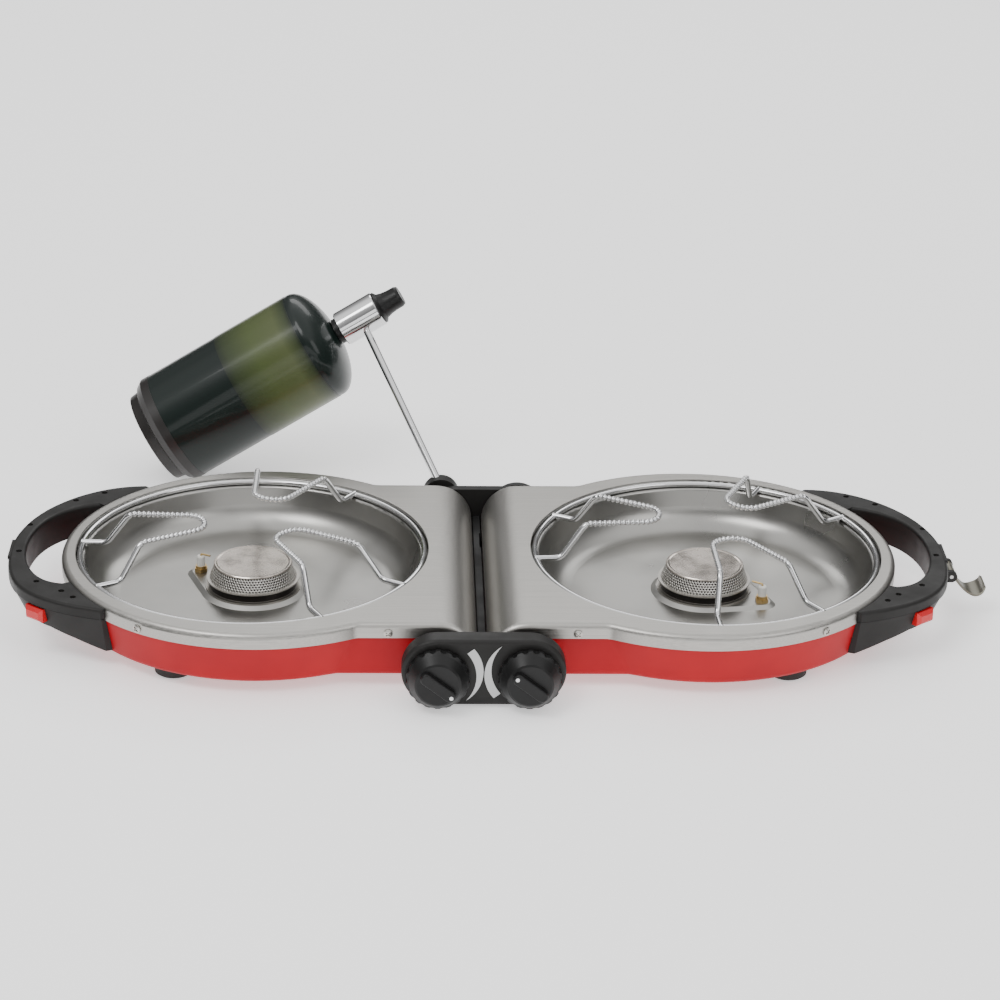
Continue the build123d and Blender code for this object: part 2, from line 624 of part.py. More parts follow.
def knob_dot(side):
    """White pointer dot at one end of the knob's bar."""
    y = PANEL_FRONT - 1.0
    plane = Plane(origin=(side * FOLD_X, y, FOLD_Z), x_dir=(1, 0, 0), z_dir=(0, -1, 0))
    return plane * Rot(0, 0, BAR_ANGLE) * Pos(-side * 12.6, 0, 20.2) * Cylinder(1.5, 0.4)


def valve_stem(side):
    """Spindle that the knob is pressed on."""
    return along_y(STEM_BORE_R, side * FOLD_X, FOLD_Z, -182.9, -156)


# ---------------------------------------------------------------- fuel supply

def bottle_plane():
    """Plane across the bottle: its Z runs from the foot to the valve, from the pipe's joint."""
    joint = PIPE_START + direction(PIPE_AZ, PIPE_EL) * PIPE_LENGTH
    return Plane(origin=joint, x_dir=(0, -1, 0), z_dir=direction(BOTTLE_AZ, BOTTLE_EL))


def foot_end():
    """Where the foot ring ends along the axis, so that its rim rests on the table."""
    joint = bottle_plane().origin
    tilt = math.radians(BOTTLE_EL)
    return -(joint.Z - FOOT_R * math.cos(tilt)) / math.sin(tilt)


def pipe_bar(radius, from_start, to_end):
    """Bar along the supply pipe's centre line."""
    way = direction(PIPE_AZ, PIPE_EL)
    return rod(radius, PIPE_START + way * from_start, PIPE_START + way * (PIPE_LENGTH + to_end))


def swivel_knuckle():
    """Round inlet fitting that turns on the spigot."""
    body = along_y(KNUCKLE_R, KNUCKLE_X, KNUCKLE_Z, KNUCKLE_Y0, KNUCKLE_Y1)
    back = [e for e in body.edges() if abs((e @ 0.5).Y - KNUCKLE_Y1) < 1e-3]
    body = fillet(back, 4.0)
    body -= along_y(SPIGOT_R + RUN_GAP, KNUCKLE_X, KNUCKLE_Z, KNUCKLE_Y0 - 1, KNUCKLE_Y1 - 0.6)
    return body - pipe_bar(PIPE_R, -2, 0)


def supply_pipe():
    """Straight chromed pipe."""
    pipe = pipe_bar(PIPE_R, -2, -9)
    return pipe - along_y(SPIGOT_R + 0.3, KNUCKLE_X, KNUCKLE_Z, 130, KNUCKLE_Y1 - 0.6)


def regulator_body():
    """Chromed pressure regulator with the threaded socket for the bottle."""
    profile = [
        (12.7, REG_LOW), (REG_R - 0.8, REG_LOW), (REG_R, REG_LOW + 0.8), (REG_R, REG_HIGH - 0.8),
        (REG_R - 0.8, REG_HIGH), (0, REG_HIGH), (0, REG_LOW + 13), (12.7, REG_LOW + 13),
    ]
    body = bottle_plane() * turned(profile)
    return body - pipe_bar(PIPE_R, -2, -9)


def regulator_cap():
    """Black end cap of the regulator."""
    z = REG_HIGH
    profile = [
        (0, z), (14.4, z), (14.4, z + 1.4), (11.4, z + 3.6), (10.2, z + 8), (9.6, z + 13),
        (9.4, z + 20), (8.2, z + 22.5), (0, z + 22.5),
    ]
    return bottle_plane() * turned(profile)


def quarter_ellipse(radius, start, height):
    """Curve from (radius, start) to the axis, as an ellipse would run."""
    k = 0.5523
    top = start + height
    return Bezier((radius, start), (radius, start + k * height), (k * radius, top), (0, top))


def bottle_outline(inset):
    """Half section of the fuel bottle."""
    r = BOTTLE_R - inset
    end = BOTTLE_END - inset
    dome = BOTTLE_DOME - inset
    bottom = quarter_ellipse(r, BOTTLE_LOW, -end)
    wall = Line((r, BOTTLE_LOW), (r, BOTTLE_HIGH))
    shoulder = quarter_ellipse(r, BOTTLE_HIGH, dome)
    axis = Line((0, BOTTLE_HIGH + dome), (0, BOTTLE_LOW - end))
    return make_face([bottom, wall, shoulder, axis])


def bottle_solid(inset):
    """Bottle shape before it is hollowed."""
    return revolve(Plane.XZ * bottle_outline(inset), Axis.Z)


def fuel_bottle():
    """Steel bottle with an open neck."""
    bottle = bottle_solid(0) - bottle_solid(BOTTLE_T)
    bottle -= Pos(0, 0, -30) * Cylinder(9.0, 40)
    return bottle_plane() * bottle


def bottle_valve():
    """Valve in the bottle's neck, with the collar and the nipple that enters the regulator."""
    z = REG_LOW
    profile = [
        (0, -40), (8.9, -40), (8.9, -23.5), (11.6, -23.5), (11.6, z - 0.3), (12.6, z - 0.3),
        (12.6, z + 11), (11.8, z + 12), (0, z + 12),
    ]
    return bottle_plane() * turned(profile)


def bottle_foot():
    """Plastic ring that the bottle stands on."""
    end = foot_end()
    profile = [
        (FOOT_INNER_R, end), (FOOT_R, end), (FOOT_R + 1.2, end + 8), (46.0, end + 10),
        (BOTTLE_R + 0.2, end + 15.5), (BOTTLE_R + 0.2, FOOT_HIGH), (FOOT_INNER_R, FOOT_HIGH),
    ]
    return bottle_plane() * (turned(profile) - bottle_solid(0))


def bottle_label():
    """Paper label wrapped round the bottle."""
    z0, z1 = LABEL_T0, LABEL_T1
    profile = [(BOTTLE_R, z0), (BOTTLE_R + 0.25, z0), (BOTTLE_R + 0.25, z1), (BOTTLE_R, z1)]
    return bottle_plane() * turned(profile)


# ---------------------------------------------------------------- all nodes

def build_half(nodes, name, place, tab_angle, arm_angle, with_latch):
    """Add every node of one half; place() moves a piece drawn at positive x to its own side."""
    metal, wire = igniter_metal(tab_angle)
    pieces = {
        "top_plate": [top_plate()],
        "base_shell": [base_shell()],
        "burner_bowl": [burner_bowl(tab_angle)],
        "burner_cup": [burner_cup()],
        "burner_mesh": [burner_mesh()],
        "burner_cap": [burner_cap()],
        "igniter_ceramic": [igniter_ceramic(tab_angle)],
        "igniter_metal": [metal, wire],
        "gas_tube": [gas_tube()],
        "hinge_bushes": hinge_bushes(),
        "pan_support": [pan_support(arm_angle)],
        "handle_upper": [handle_upper()],
        "handle_lower": [handle_lower(with_latch)],
        "igniter_button": [igniter_button()],
        "piezo_unit": [piezo_unit()],
        "feet": feet(),
        "screws": half_screws(),
    }
    for piece, solids in pieces.items():
        nodes[name + "_" + piece] = [place(s) for s in solids]


def main():
    nodes = {}
    build_half(nodes, "left", mirrored, 180 - LEFT_TAB, 180 - LEFT_ARMS, False)
    build_half(nodes, "right", lambda shape: shape, RIGHT_TAB, RIGHT_ARMS, True)
    nodes["latch_lever"] = [latch_lever()]
    nodes["latch_pin"] = [latch_pin()]
    nodes["control_panel"] = [control_panel()]
    nodes["panel_cover"] = [panel_cover()]
    nodes["flame_marks"] = [crescent(-1), crescent(1)]
    nodes["gas_manifold"] = [gas_manifold()]
    nodes["spine_beam"] = [spine_beam()]
    nodes["rear_bracket"] = [rear_bracket()]
    nodes["hinge_pins"] = hinge_pins()
    nodes["spine_feet"] = spine_feet()
    for name, side in (("left", -1), ("right", 1)):
        nodes[name + "_valve"] = [valve(side)]
        nodes[name + "_knob"] = [knob(side)]
        nodes[name + "_knob_dot"] = [knob_dot(side)]
        nodes[name + "_valve_stem"] = [valve_stem(side)]
    nodes["swivel_knuckle"] = [swivel_knuckle()]
    nodes["supply_pipe"] = [supply_pipe()]
    nodes["regulator_body"] = [regulator_body()]
    nodes["regulator_cap"] = [regulator_cap()]
    nodes["fuel_bottle"] = [fuel_bottle()]
    nodes["bottle_valve"] = [bottle_valve()]
    nodes["bottle_foot"] = [bottle_foot()]
    nodes["bottle_label"] = [bottle_label()]
    os.makedirs("parts", exist_ok=True)
    for name, pieces in nodes.items():
        solids = [solid for piece in pieces for solid in piece.solids()]
        shape = solids[0] if len(solids) == 1 else Compound(children=solids)
        export_step(shape, "parts/" + name + ".step")


if __name__ == "__main__":
    main()
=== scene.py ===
import json
import math

import bpy
from mathutils import Matrix, Vector


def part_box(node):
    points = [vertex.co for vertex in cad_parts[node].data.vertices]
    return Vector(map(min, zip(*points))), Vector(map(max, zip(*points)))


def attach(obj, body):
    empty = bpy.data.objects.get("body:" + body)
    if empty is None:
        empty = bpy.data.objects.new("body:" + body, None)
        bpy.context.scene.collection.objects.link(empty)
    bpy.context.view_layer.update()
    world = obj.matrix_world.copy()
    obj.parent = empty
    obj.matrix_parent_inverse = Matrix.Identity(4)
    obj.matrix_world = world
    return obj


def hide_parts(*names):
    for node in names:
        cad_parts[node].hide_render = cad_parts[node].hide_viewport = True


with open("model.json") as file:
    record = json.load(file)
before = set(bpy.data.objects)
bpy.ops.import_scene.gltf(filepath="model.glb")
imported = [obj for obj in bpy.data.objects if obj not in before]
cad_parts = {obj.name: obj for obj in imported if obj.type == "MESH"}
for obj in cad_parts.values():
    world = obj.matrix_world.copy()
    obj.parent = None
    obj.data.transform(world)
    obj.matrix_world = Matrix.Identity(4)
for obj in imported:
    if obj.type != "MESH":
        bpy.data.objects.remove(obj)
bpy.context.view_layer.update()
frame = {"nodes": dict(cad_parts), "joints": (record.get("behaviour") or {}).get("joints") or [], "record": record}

# Two-burner folding camp stove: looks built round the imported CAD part. Sizes of the part are in
# millimetres up to the moment a mesh is made. The camera, the lights and the depths of bumps are
# in metres, which are Blender's units.
MM = 0.001
SIDES = (("left", -1), ("right", 1))

# Camera: the point it looks at, its distance, its three angles and its lens
TARGET = Vector((0.0155, 0.0, 0.0955))
DISTANCE = 2.4
ELEVATION, YAW, ROLL = math.radians(23.7), math.radians(-2.0), math.radians(1.1)
LENS = 109.1                 # millimetres

# Stage
FLOOR_HALF, FLOOR_GLOW = 10.0, 0.65
LIGHT_AIM = (0.0, 0.0, 0.05)
LIGHTS = (                   # name, place, width and height, power
    ("key", (-1.2, -1.0, 2.4), (1.4, 1.0), 27),
    ("fill", (1.6, -1.4, 1.6), (1.2, 1.2), 10),
    ("rim", (0.3, 2.2, 1.6), (2.0, 0.7), 13),
    ("front", (0.2, -2.8, 0.75), (3.0, 0.9), 13),
)
SKY = (                      # share of the way from straight down to straight up, and grey
    (0.0, 0.5), (0.49, 0.16), (0.54, 0.04), (0.66, 0.22), (0.80, 0.5), (0.90, 1.35), (1.0, 1.35),
)

# Burners
BOWL_X = 180.5               # burner axis, from the middle of the stove
PAD_TOP = 20.0               # raised pad that the burner stands on
BODY_HIGH = 9.0              # the burner body's colours are spread over this height above the pad

# Pan supports: ring, arms and the pressed ribs along the arms' top runs. Wire sizes are radii.
RING_R, RING_Z, RING_WIRE = 136.5, 51.0, 2.25
RING_STEPS = 240
ARM_Z, ARM_WIRE = 79.0, 2.4
ARM_FOOT_Z = RING_Z + 0.6    # level stretch that is welded to the ring
ARM_RADII = [9.0, 10.0, 15.0, 15.0, 10.0, 9.0]   # of the bends, from one end of an arm to the other
FIRST_ARM = {"left": 73.0, "right": 48.0}        # direction of the first arm, in degrees
RIB_PITCH, RIB_DEPTH = 3.8, 0.95
STEPS_PER_RIB = 7            # points of the centre line from one rib to the next
WIRE_SIDES = 14

# Screws: on the edges of the plate and on top of the handles
DISC_X, DISC_Y, DISC_R = 173.5, -2.0, 157.5      # round outer part of a half
FRONT_Y, REAR_Y = -139.0, 127.5                  # its straight front and rear edges
SKIRT_SCREW_X, SKIRT_SCREW_Z = 72.0, 46.0
SKIRT_SCREW_ANGLES = (-56, 56)                   # on the round skirt, in degrees
SKIRT_SEAT = 0.04            # the heads on the round skirt stand off it by this much
HANDLE_SCREWS = [(362, 45), (365, -6), (345, -62), (324, -79), (314, -90), (308, 110), (330, 94)]
HANDLE_SCREW_Z = 49.5
SKIRT_HEAD = (3.4, 0.7, 0.9)                     # radius, dome and thickness of a head
HANDLE_HEAD = (2.2, 0.25, 0.5)

LABEL_LENGTH = 70.0          # along the bottle

# Perforated flame ring: rows of holes, and the radius and height of its two edges
RING_ROWS, RING_COLUMNS = 6, 84
HOLE_SHARE = 0.37            # radius of a hole as a share of the height of its row
HOLE_CORNERS = 8             # as many as a cell of the ring has points around it
FLAME_LOW, FLAME_HIGH = (34.8, PAD_TOP + 8.6), (30.6, PAD_TOP + 19.6)
FLAME_WALL = 0.5
SHADE_SLEEVE_GAP, SHADE_SLEEVE_WALL = 2.2, 0.6                 # painted shade: a dark sleeve inside the flame ring stands in for the shadowed inside of the burner
SHADE_SLEEVE_SIDES = 96


# ---------------------------------------------------------------- materials

class Shader:
    """A Principled material and short ways to wire its nodes."""

    def __init__(self, name, colour, rough, metal=0.0):
        self.mat = bpy.data.materials.new(name)
        self.mat.use_nodes = True
        self.tree = self.mat.node_tree
        self.bsdf = self.tree.nodes["Principled BSDF"]
        self.set("Base Color", (*colour, 1.0))
        self.set("Roughness", rough)
        self.set("Metallic", metal)
        self.coords = self.tree.nodes.new("ShaderNodeTexCoord").outputs["Object"]

    def set(self, socket, value):
        self.bsdf.inputs[socket].default_value = value

    def scaled(self, scale):
        node = self.tree.nodes.new("ShaderNodeMapping")
        node.inputs["Scale"].default_value = scale
        self.tree.links.new(self.coords, node.inputs["Vector"])
        return node.outputs["Vector"]

    def noise(self, scale, stretch=(1, 1, 1), detail=3.0):
        node = self.tree.nodes.new("ShaderNodeTexNoise")
        node.inputs["Scale"].default_value = scale
        node.inputs["Detail"].default_value = detail
        self.tree.links.new(self.scaled(stretch), node.inputs["Vector"])
        return node.outputs["Fac"]

    def mapped(self, value, low, high, start=0.35, end=0.65):
        """Start to end becomes low to high. A noise is mostly between 0.35 and 0.65."""
        node = self.tree.nodes.new("ShaderNodeMapRange")
        for socket, number in (("From Min", start), ("From Max", end), ("To Min", low), ("To Max", high)):
            node.inputs[socket].default_value = number
        self.tree.links.new(value, node.inputs["Value"])
        return node.outputs["Result"]

    def blend(self, factor, first, second):
        node = self.tree.nodes.new("ShaderNodeMix")
        node.data_type = "RGBA"
        node.inputs["A"].default_value = (*first, 1.0)
        node.inputs["B"].default_value = (*second, 1.0)
        self.tree.links.new(factor, node.inputs["Factor"])
        return node.outputs["Result"]

    def drive(self, socket, value):
        self.tree.links.new(value, self.bsdf.inputs[socket])

    def bump(self, height, depth, strength=1.0):
        node = self.tree.nodes.new("ShaderNodeBump")
        node.inputs["Strength"].default_value = strength
        node.inputs["Distance"].default_value = depth
        self.tree.links.new(height, node.inputs["Height"])
        self.tree.links.new(node.outputs["Normal"], self.bsdf.inputs["Normal"])

    def ramp(self, value, stops, interpolation="LINEAR"):
        """Base colour from a value between 0 and 1, by stops of (place, colour)."""
        node = self.tree.nodes.new("ShaderNodeValToRGB")
        node.color_ramp.interpolation = interpolation
        set_stops(node, stops)
        self.tree.links.new(value, node.inputs["Fac"])
        self.drive("Base Color", node.outputs["Color"])


def set_stops(node, stops):
    elements = node.color_ramp.elements
    while len(elements) < len(stops):
        elements.new(0.5)
    for element, (place, colour) in zip(elements, stops):
        element.position = place
        element.color = (*colour, 1.0)


def brushed_sheet():
    s = Shader("brushed_sheet", (0.42, 0.408, 0.385), 0.36, 1.0)
    grain = s.noise(1.0, (9, 1500, 1500), 5.0)
    s.drive("Base Color", s.blend(s.mapped(grain, 0, 1), (0.37, 0.36, 0.34), (0.47, 0.457, 0.432)))
    s.drive("Roughness", s.mapped(grain, 0.30, 0.46))
    s.bump(grain, 0.00004, 0.5)
    return s.mat


def drawn_steel():
    s = Shader("drawn_steel", (0.36, 0.355, 0.34), 0.33, 1.0)
    cloud = s.noise(14.0)
    s.drive("Base Color", s.blend(s.mapped(cloud, 0, 1), (0.33, 0.325, 0.31), (0.40, 0.393, 0.375)))
    s.drive("Roughness", s.mapped(cloud, 0.27, 0.36))
    return s.mat


def polished_cap():
    s = Shader("polished_cap", (0.50, 0.455, 0.41), 0.2, 1.0)
    s.drive("Roughness", s.mapped(s.noise(60.0), 0.14, 0.28))
    return s.mat


def burner_body_painted_shade():
    """Steel foot flange and lip, with a near-black band of painted shade between them."""
    s = Shader("burner_body_painted_shade", (0.4, 0.38, 0.35), 0.36, 0.95)
    split = s.tree.nodes.new("ShaderNodeSeparateXYZ")
    s.tree.links.new(s.coords, split.inputs["Vector"])
    height = s.mapped(split.outputs["Z"], 0.0, 1.0, PAD_TOP * MM, (PAD_TOP + BODY_HIGH) * MM)
    # painted shade: the near-black middle stop stands in for the shadowed inside of the burner
    stops = [(0.0, (0.42, 0.40, 0.37)), (0.17, (0.03, 0.027, 0.025)), (0.83, (0.46, 0.44, 0.41))]
    s.ramp(height, stops, "CONSTANT")
    return s.mat


def chrome():
    s = Shader("chrome_plate", (0.72, 0.72, 0.725), 0.07, 1.0)
    s.drive("Roughness", s.mapped(s.noise(90.0), 0.04, 0.12))
    return s.mat


def red_enamel():
    s = Shader("red_enamel", (0.42, 0.005, 0.011), 0.42)
    s.set("Specular IOR Level", 0.22)
    cloud = s.noise(20.0)
    s.drive("Base Color", s.blend(s.mapped(cloud, 0, 1), (0.39, 0.004, 0.010), (0.45, 0.006, 0.012)))
    s.bump(s.noise(420.0), 0.00005, 0.35)
    return s.mat


def plain(name, colour, rough, metal=0.0, grain=0.0, grain_scale=1800.0, shine=0.5):
    """One colour, slightly uneven in gloss. Grain is the depth of a moulded texture, if it has one."""
    s = Shader(name, colour, rough, metal)
    s.set("Specular IOR Level", shine)
    wear = s.noise(35.0)
    s.drive("Roughness", s.mapped(wear, rough * 0.85, rough * 1.15))
    if grain:
        s.bump(s.noise(grain_scale, detail=2.0), grain, 0.6)
    return s.mat


def gloss_paint():
    s = Shader("bottle_paint", (0.005, 0.011, 0.009), 0.3)
    s.set("Coat Weight", 0.3)
    s.set("Coat Roughness", 0.08)
    s.set("Specular IOR Level", 0.2)
    s.bump(s.noise(260.0), 0.00004, 0.25)
    return s.mat


def label_print():
    """Olive label that is paler towards the bottle's shoulder and dark along both edges."""
    s = Shader("label_print", (0.075, 0.1, 0.035), 0.3)
    s.set("Coat Weight", 0.2)
    s.set("Coat Roughness", 0.15)
    s.set("Specular IOR Level", 0.25)
    low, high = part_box("bottle_label")
    unscrew = next(joint for joint in frame["joints"] if joint["name"] == "bottle_unscrew")
    to_shoulder = -Vector(unscrew["axis"]).normalized()
    dot = s.tree.nodes.new("ShaderNodeVectorMath")
    dot.operation = "DOT_PRODUCT"
    dot.inputs[1].default_value = to_shoulder
    s.tree.links.new(s.coords, dot.inputs[0])
    length = LABEL_LENGTH * MM
    start = ((low + high) / 2).dot(to_shoulder) - length / 2
    along = s.mapped(dot.outputs["Value"], 0.0, 1.0, start, start + length)
    stops = [
        (0.0, (0.012, 0.018, 0.010)), (0.10, (0.030, 0.042, 0.016)), (0.45, (0.066, 0.088, 0.027)),
        (0.80, (0.078, 0.096, 0.036)), (0.95, (0.034, 0.046, 0.018)), (1.0, (0.012, 0.018, 0.010)),
    ]
    s.ramp(along, stops)
    return s.mat


def make_materials():
    return {
        "brushed_steel": brushed_sheet(),
        "red_paint": red_enamel(),
        "bowl_steel": drawn_steel(),
        "burner_dark": burner_body_painted_shade(),
        "mesh_steel": plain("flame_ring_steel", (0.62, 0.60, 0.565), 0.24, 1.0),
        "cap_steel": polished_cap(),
        "white_ceramic": plain("glazed_ceramic", (0.80, 0.79, 0.75), 0.18),
        "brass": plain("tarnished_brass", (0.62, 0.44, 0.20), 0.3, 1.0),
        "chrome": chrome(),
        "black_plastic": plain("grained_black", (0.012, 0.0112, 0.0105), 0.5, grain=0.00006, shine=0.3),
        "gloss_black": plain("smooth_black", (0.007, 0.007, 0.007), 0.4, grain=0.00003, shine=0.3),
        "red_plastic": plain("red_button_plastic", (0.60, 0.010, 0.014), 0.26),
        "rubber": plain("black_rubber", (0.022, 0.021, 0.020), 0.7, grain=0.00008),
        "zinc_screws": plain("zinc_screw", (0.50, 0.48, 0.45), 0.3, 1.0),
        "bush_plastic": plain("bush_plastic", (0.05, 0.05, 0.05), 0.4),
        "spine_paint": plain("black_coating", (0.008, 0.008, 0.008), 0.7, grain=0.00005),
        "mark_grey": plain("printed_grey", (0.52, 0.52, 0.52), 0.35, 0.5),
        "dot_white": plain("white_dot", (0.82, 0.82, 0.82), 0.4),
        "latch_grey": plain("olive_spring_steel", (0.20, 0.19, 0.155), 0.38, 0.75),
        "green_paint": gloss_paint(),
        "label_paper": label_print(),
        "foot_plastic": plain("foot_ring_plastic", (0.011, 0.009, 0.008), 0.36),
        "steel": plain("machined_steel", (0.50, 0.50, 0.50), 0.3, 1.0),
    }


def paint_cad(materials):
    """Every carried-over CAD node gets the finish of its own slot."""
    for part in frame["record"]["subparts"]:
        node = frame["nodes"][part["node"]]
        node.data.materials.clear()
        node.data.materials.append(materials[part["material_slot"]])


# ---------------------------------------------------------------- meshes

def build(name, points, faces, material, body, replaced=(), smooth=True):
    """Mesh object from points in millimetres, finished, riding on its body."""
    mesh = bpy.data.meshes.new(name)
    mesh.from_pydata([Vector(p) * MM for p in points], [], faces)
    mesh.validate()
    mesh.materials.append(material)
    for polygon in mesh.polygons:
        polygon.use_smooth = smooth
    obj = bpy.data.objects.new(name, mesh)
    bpy.context.scene.collection.objects.link(obj)
    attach(obj, body)
    if replaced:
        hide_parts(*replaced)
    return obj


def rounded_path(corners, radii, arc_steps=14):
    """Points of a bent wire's centre line: straight runs joined by tangent arcs."""
    points = [corners[0]]
    for before, corner, after, radius in zip(corners, corners[1:], corners[2:], radii):
        way_in = (corner - before).normalized()
        way_out = (after - corner).normalized()
        turn = way_in.angle(way_out)
        start = corner - way_in * radius * math.tan(turn / 2)
        side = (way_out - way_in * way_in.dot(way_out)).normalized()
        for k in range(arc_steps + 1):
            a = turn * k / arc_steps
            points.append(start + way_in * radius * math.sin(a) + side * radius * (1 - math.cos(a)))
    points.append(corners[-1])
    return points


def spaced(points, step):
    """The same line with points at even steps."""
    lengths = [0.0]
    for a, b in zip(points, points[1:]):
        lengths.append(lengths[-1] + (b - a).length)
    count = max(2, round(lengths[-1] / step))
    result, k = [], 0
    for n in range(count + 1):
        s = lengths[-1] * n / count
        while k < len(points) - 2 and lengths[k + 1] < s:
            k += 1
        share = (s - lengths[k]) / max(lengths[k + 1] - lengths[k], 1e-9)
        result.append(points[k].lerp(points[k + 1], min(share, 1.0)))
    return result


def tube(points, radii, sides, closed=False):
    """Vertices and faces of a round bar along points, with its own radius at each point."""
    count = len(points)
    verts, faces = [], []
    normal = None
    for k, point in enumerate(points):
        ahead = points[(k + 1) % count] if closed or k < count - 1 else point
        behind = points[k - 1] if closed or k > 0 else point
        way = (ahead - behind).normalized()
        seed = normal if normal else way.orthogonal()
        normal = (seed - way * seed.dot(way)).normalized()
        across = way.cross(normal)
        for j in range(sides):
            a = 2 * math.pi * j / sides
            verts.append(point + (normal * math.cos(a) + across * math.sin(a)) * radii[k])
    for k in range(count if closed else count - 1):
        for j in range(sides):
            a, b = k * sides, ((k + 1) % count) * sides
            n = (j + 1) % sides
            faces.append((a + j, b + j, b + n, a + n))
    if not closed:
        faces.append(tuple(range(sides)))
        faces.append(tuple(reversed(range((count - 1) * sides, count * sides))))
    return verts, faces


def joined(parts):
    """One set of vertices and faces from several."""
    verts, faces = [], []
    for more_verts, more_faces in parts:
        base = len(verts)
        verts += more_verts
        faces += [tuple(base + i for i in face) for face in more_faces]
    return verts, faces


# ---------------------------------------------------------------- pieces

def rib_radius(point, distance):
    """Wire radius: the level stretches of an arm have pressed ribs across them."""
    rise_start, rise = ARM_Z - 2.0, 1.5
    level = max(0.0, min(1.0, (point.z - rise_start) / rise))
    wave = 0.5 - 0.5 * math.cos(2 * math.pi * distance / RIB_PITCH)
    return ARM_WIRE - RIB_DEPTH * level * wave ** 2


def support_arm():
    """Centre line of one arm and the wire's radius at each of its points. The two ends mirror."""
    half = [
        Vector((RING_R - 5.5, 43.0, ARM_FOOT_Z)), Vector((111.0, 37.5, ARM_FOOT_Z)),
        Vector((93.0, 28.5, ARM_Z)), Vector((38.5, 12.5, ARM_Z)),
    ]
    corners = half + [Vector((p.x, -p.y, p.z)) for p in reversed(half)]
    step = RIB_PITCH / STEPS_PER_RIB
    line = spaced(rounded_path(corners, ARM_RADII), step)
    return line, [rib_radius(p, k * step) for k, p in enumerate(line)]


def pan_support(name, side, material):
    """Wire ring and three bent arms."""
    centre = Vector((side * BOWL_X, 0, 0))
    ring = []
    for k in range(RING_STEPS):
        a = 2 * math.pi * k / RING_STEPS
        ring.append(centre + Vector((RING_R * math.cos(a), RING_R * math.sin(a), RING_Z)))
    parts = [tube(ring, [RING_WIRE] * RING_STEPS, WIRE_SIDES, closed=True)]
    line, radii = support_arm()
    for k in range(3):
        turn = Matrix.Rotation(math.radians(FIRST_ARM[name] + 120 * k), 3, "Z")
        parts.append(tube([centre + turn @ p for p in line], radii, WIRE_SIDES))
    verts, faces = joined(parts)
    build(name + "_support_wire", verts, faces, material, name + "_grate", [name + "_pan_support"])


def flame_ring(name, side, material):
    """Thin cone with rows of round holes; each row's holes sit between those of the next.

    The cone is cut into cells two grid steps wide. A cell has eight points around it and a hole
    of eight corners in the middle, joined by eight faces.
    """
    rim, hub = FLAME_LOW, FLAME_HIGH
    slant = math.hypot(rim[0] - hub[0], rim[1] - hub[1])
    row_height = slant / RING_ROWS
    hole = HOLE_SHARE * row_height
    wide = 2 * RING_COLUMNS
    verts, faces = [], []

    def radius_at(along):
        return rim[0] + (hub[0] - rim[0]) * along / slant

    def place(turns, along):
        a = 2 * math.pi * turns
        verts.append((side * BOWL_X + radius_at(along) * math.cos(a), radius_at(along) * math.sin(a),
                      rim[1] + (hub[1] - rim[1]) * along / slant))
        return len(verts) - 1

    border = []
    for row in range(RING_ROWS + 1):
        border.append([place(j / wide, row * row_height) for j in range(wide)])
    for row in range(RING_ROWS):
        shift = row % 2
        height = (row + 0.5) * row_height
        uprights = [place((2 * c + shift) / wide, height) for c in range(RING_COLUMNS)]
        low, high = border[row], border[row + 1]
        for c in range(RING_COLUMNS):
            middle = 2 * c + shift + 1
            before, here, after = (middle - 1) % wide, middle % wide, (middle + 1) % wide
            around = [
                uprights[(c + 1) % RING_COLUMNS], high[after], high[here], high[before],
                uprights[c], low[before], low[here], low[after],
            ]
            holes = []
            for k in range(HOLE_CORNERS):
                a = 2 * math.pi * k / HOLE_CORNERS
                turns = middle / wide + hole * math.cos(a) / (2 * math.pi * radius_at(height))
                holes.append(place(turns, height + hole * math.sin(a)))
            for k in range(HOLE_CORNERS):
                n = (k + 1) % HOLE_CORNERS
                faces.append((around[k], around[n], holes[n], holes[k]))
    obj = build(name + "_flame_ring", verts, faces, material, name + "_half",
                [name + "_burner_mesh"])
    wall = obj.modifiers.new("wall", "SOLIDIFY")
    wall.thickness = FLAME_WALL * MM
    wall.offset = -1.0


def sleeve_of_painted_shade(name, side, material):
    """Painted shade: a dark sleeve just inside the flame ring, which stands in for the shadowed inside seen
    through its holes.
    """
    levels = [(FLAME_LOW[0] - SHADE_SLEEVE_GAP, FLAME_LOW[1]), (FLAME_HIGH[0] - SHADE_SLEEVE_GAP, FLAME_HIGH[1])]
    levels += [(r - SHADE_SLEEVE_WALL, z) for r, z in reversed(levels)]
    verts, faces = [], []
    for radius, z in levels:
        for j in range(SHADE_SLEEVE_SIDES):
            a = 2 * math.pi * j / SHADE_SLEEVE_SIDES
            verts.append((side * BOWL_X + radius * math.cos(a), radius * math.sin(a), z))
    for k in range(len(levels)):
        low, high = k * SHADE_SLEEVE_SIDES, ((k + 1) % len(levels)) * SHADE_SLEEVE_SIDES
        for j in range(SHADE_SLEEVE_SIDES):
            n = (j + 1) % SHADE_SLEEVE_SIDES
            faces.append((low + j, low + n, high + n, high + j))
    build(name + "_shade_sleeve", verts, faces, material, name + "_half")


